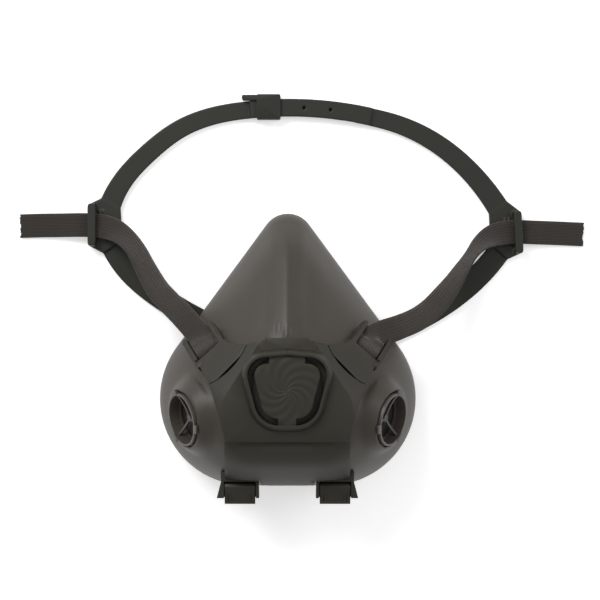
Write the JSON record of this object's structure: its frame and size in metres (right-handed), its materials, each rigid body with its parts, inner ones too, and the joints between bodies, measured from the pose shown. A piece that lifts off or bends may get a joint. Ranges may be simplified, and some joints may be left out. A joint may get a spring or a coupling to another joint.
{
  "type": "half-mask respirator",
  "caption": "Half-mask respirator facepiece without filters: silicone cup with bayonet inlets, vented exhalation cover, strap yoke, elastic straps and adjustable head cradle, laid flat.",
  "frame": {"origin": "on the table under the middle of the mask, at the plane of the face seal", "axes": "+X across the face, +Y towards the nose and crown band, +Z out of the front of the mask; the picture looks along -Z"},
  "size_m": [0.2984, 0.2129, 0.0706],
  "materials": {
    "silicone": "satin grey-brown silicone",
    "cover_plastic": "fine matte moulded plastic, dark olive grey",
    "cradle_plastic": "soft matte moulded elastomer, near-black olive",
    "valve_plastic": "matte moulded plastic",
    "valve_rubber": "thin flexible rubber",
    "webbing": "ribbed woven elastic webbing"
  },
  "bodies": {
    "harness": {"nape_band": "cradle_plastic", "crown_band_left": "cradle_plastic", "crown_band_right": "cradle_plastic", "cradle_buckle_left": "cradle_plastic", "cradle_buckle_right": "cradle_plastic", "strap_tail_left": "webbing", "strap_tail_right": "webbing"},
    "mask": {"facepiece": "silicone", "harness_yoke": "cover_plastic", "exhalation_seat": "valve_plastic", "exhalation_retainer": "valve_plastic", "inlet_port_left": "valve_plastic", "inlet_gasket_left": "valve_rubber", "inlet_retainer_left": "valve_plastic", "strap_anchor_left": "cover_plastic", "elastic_strap_left": "webbing", "buckle_pin_left": "cover_plastic", "inlet_port_right": "valve_plastic", "inlet_gasket_right": "valve_rubber", "inlet_retainer_right": "valve_plastic", "strap_anchor_right": "cover_plastic", "elastic_strap_right": "webbing", "buckle_pin_right": "cover_plastic"},
    "keeper": {"crown_keeper": "cradle_plastic"},
    "cover": {"front_cover": "cover_plastic", "vent_plate": "cover_plastic"},
    "exhalation_flap": {"exhalation_flap": "valve_rubber"},
    "inhalation_flap_left": {"inhalation_flap_left": "valve_rubber"},
    "inhalation_flap_right": {"inhalation_flap_right": "valve_rubber"},
    "lower_buckle_left": {"lower_buckle_left": "cover_plastic"},
    "lower_buckle_right": {"lower_buckle_right": "cover_plastic"}
  },
  "joints": [
    {"name": "mask_tilt", "type": "hinge", "parent": "harness", "child": "mask", "pos_m": [0, 0.076, 0], "axis": [-1, 0, 0], "range_deg": [0, 55]},
    {"name": "crown_keeper_slide", "type": "hinge", "parent": "harness", "child": "keeper", "pos_m": [0.0005, -0.0694, 0.003], "axis": [0, 0, 1], "range_deg": [-6.5, 2.5]},
    {"name": "cover_release", "type": "slide", "parent": "mask", "child": "cover", "axis": [0, 0, 1], "range_m": [0, 0.03]},
    {"name": "exhalation_flap_lift", "type": "slide", "parent": "mask", "child": "exhalation_flap", "axis": [0, 0, 1], "range_m": [0, 0.0015], "stiffness_N_per_m": 50},
    {"name": "inhalation_flap_left_lift", "type": "slide", "parent": "mask", "child": "inhalation_flap_left", "axis": [0.8479, 0.1796, -0.4988], "range_m": [0, 0.0015], "stiffness_N_per_m": 50},
    {"name": "inhalation_flap_right_lift", "type": "slide", "parent": "mask", "child": "inhalation_flap_right", "axis": [-0.8479, 0.1796, -0.4988], "range_m": [0, 0.0015], "stiffness_N_per_m": 50},
    {"name": "lower_buckle_left_hinge", "type": "hinge", "parent": "mask", "child": "lower_buckle_left", "pos_m": [-0.0243, -0.0694, 0.038], "axis": [-1, 0, 0], "range_deg": [0, 60]},
    {"name": "lower_buckle_right_hinge", "type": "hinge", "parent": "mask", "child": "lower_buckle_right", "pos_m": [0.0243, -0.0694, 0.038], "axis": [-1, 0, 0], "range_deg": [0, 60]}
  ]
}
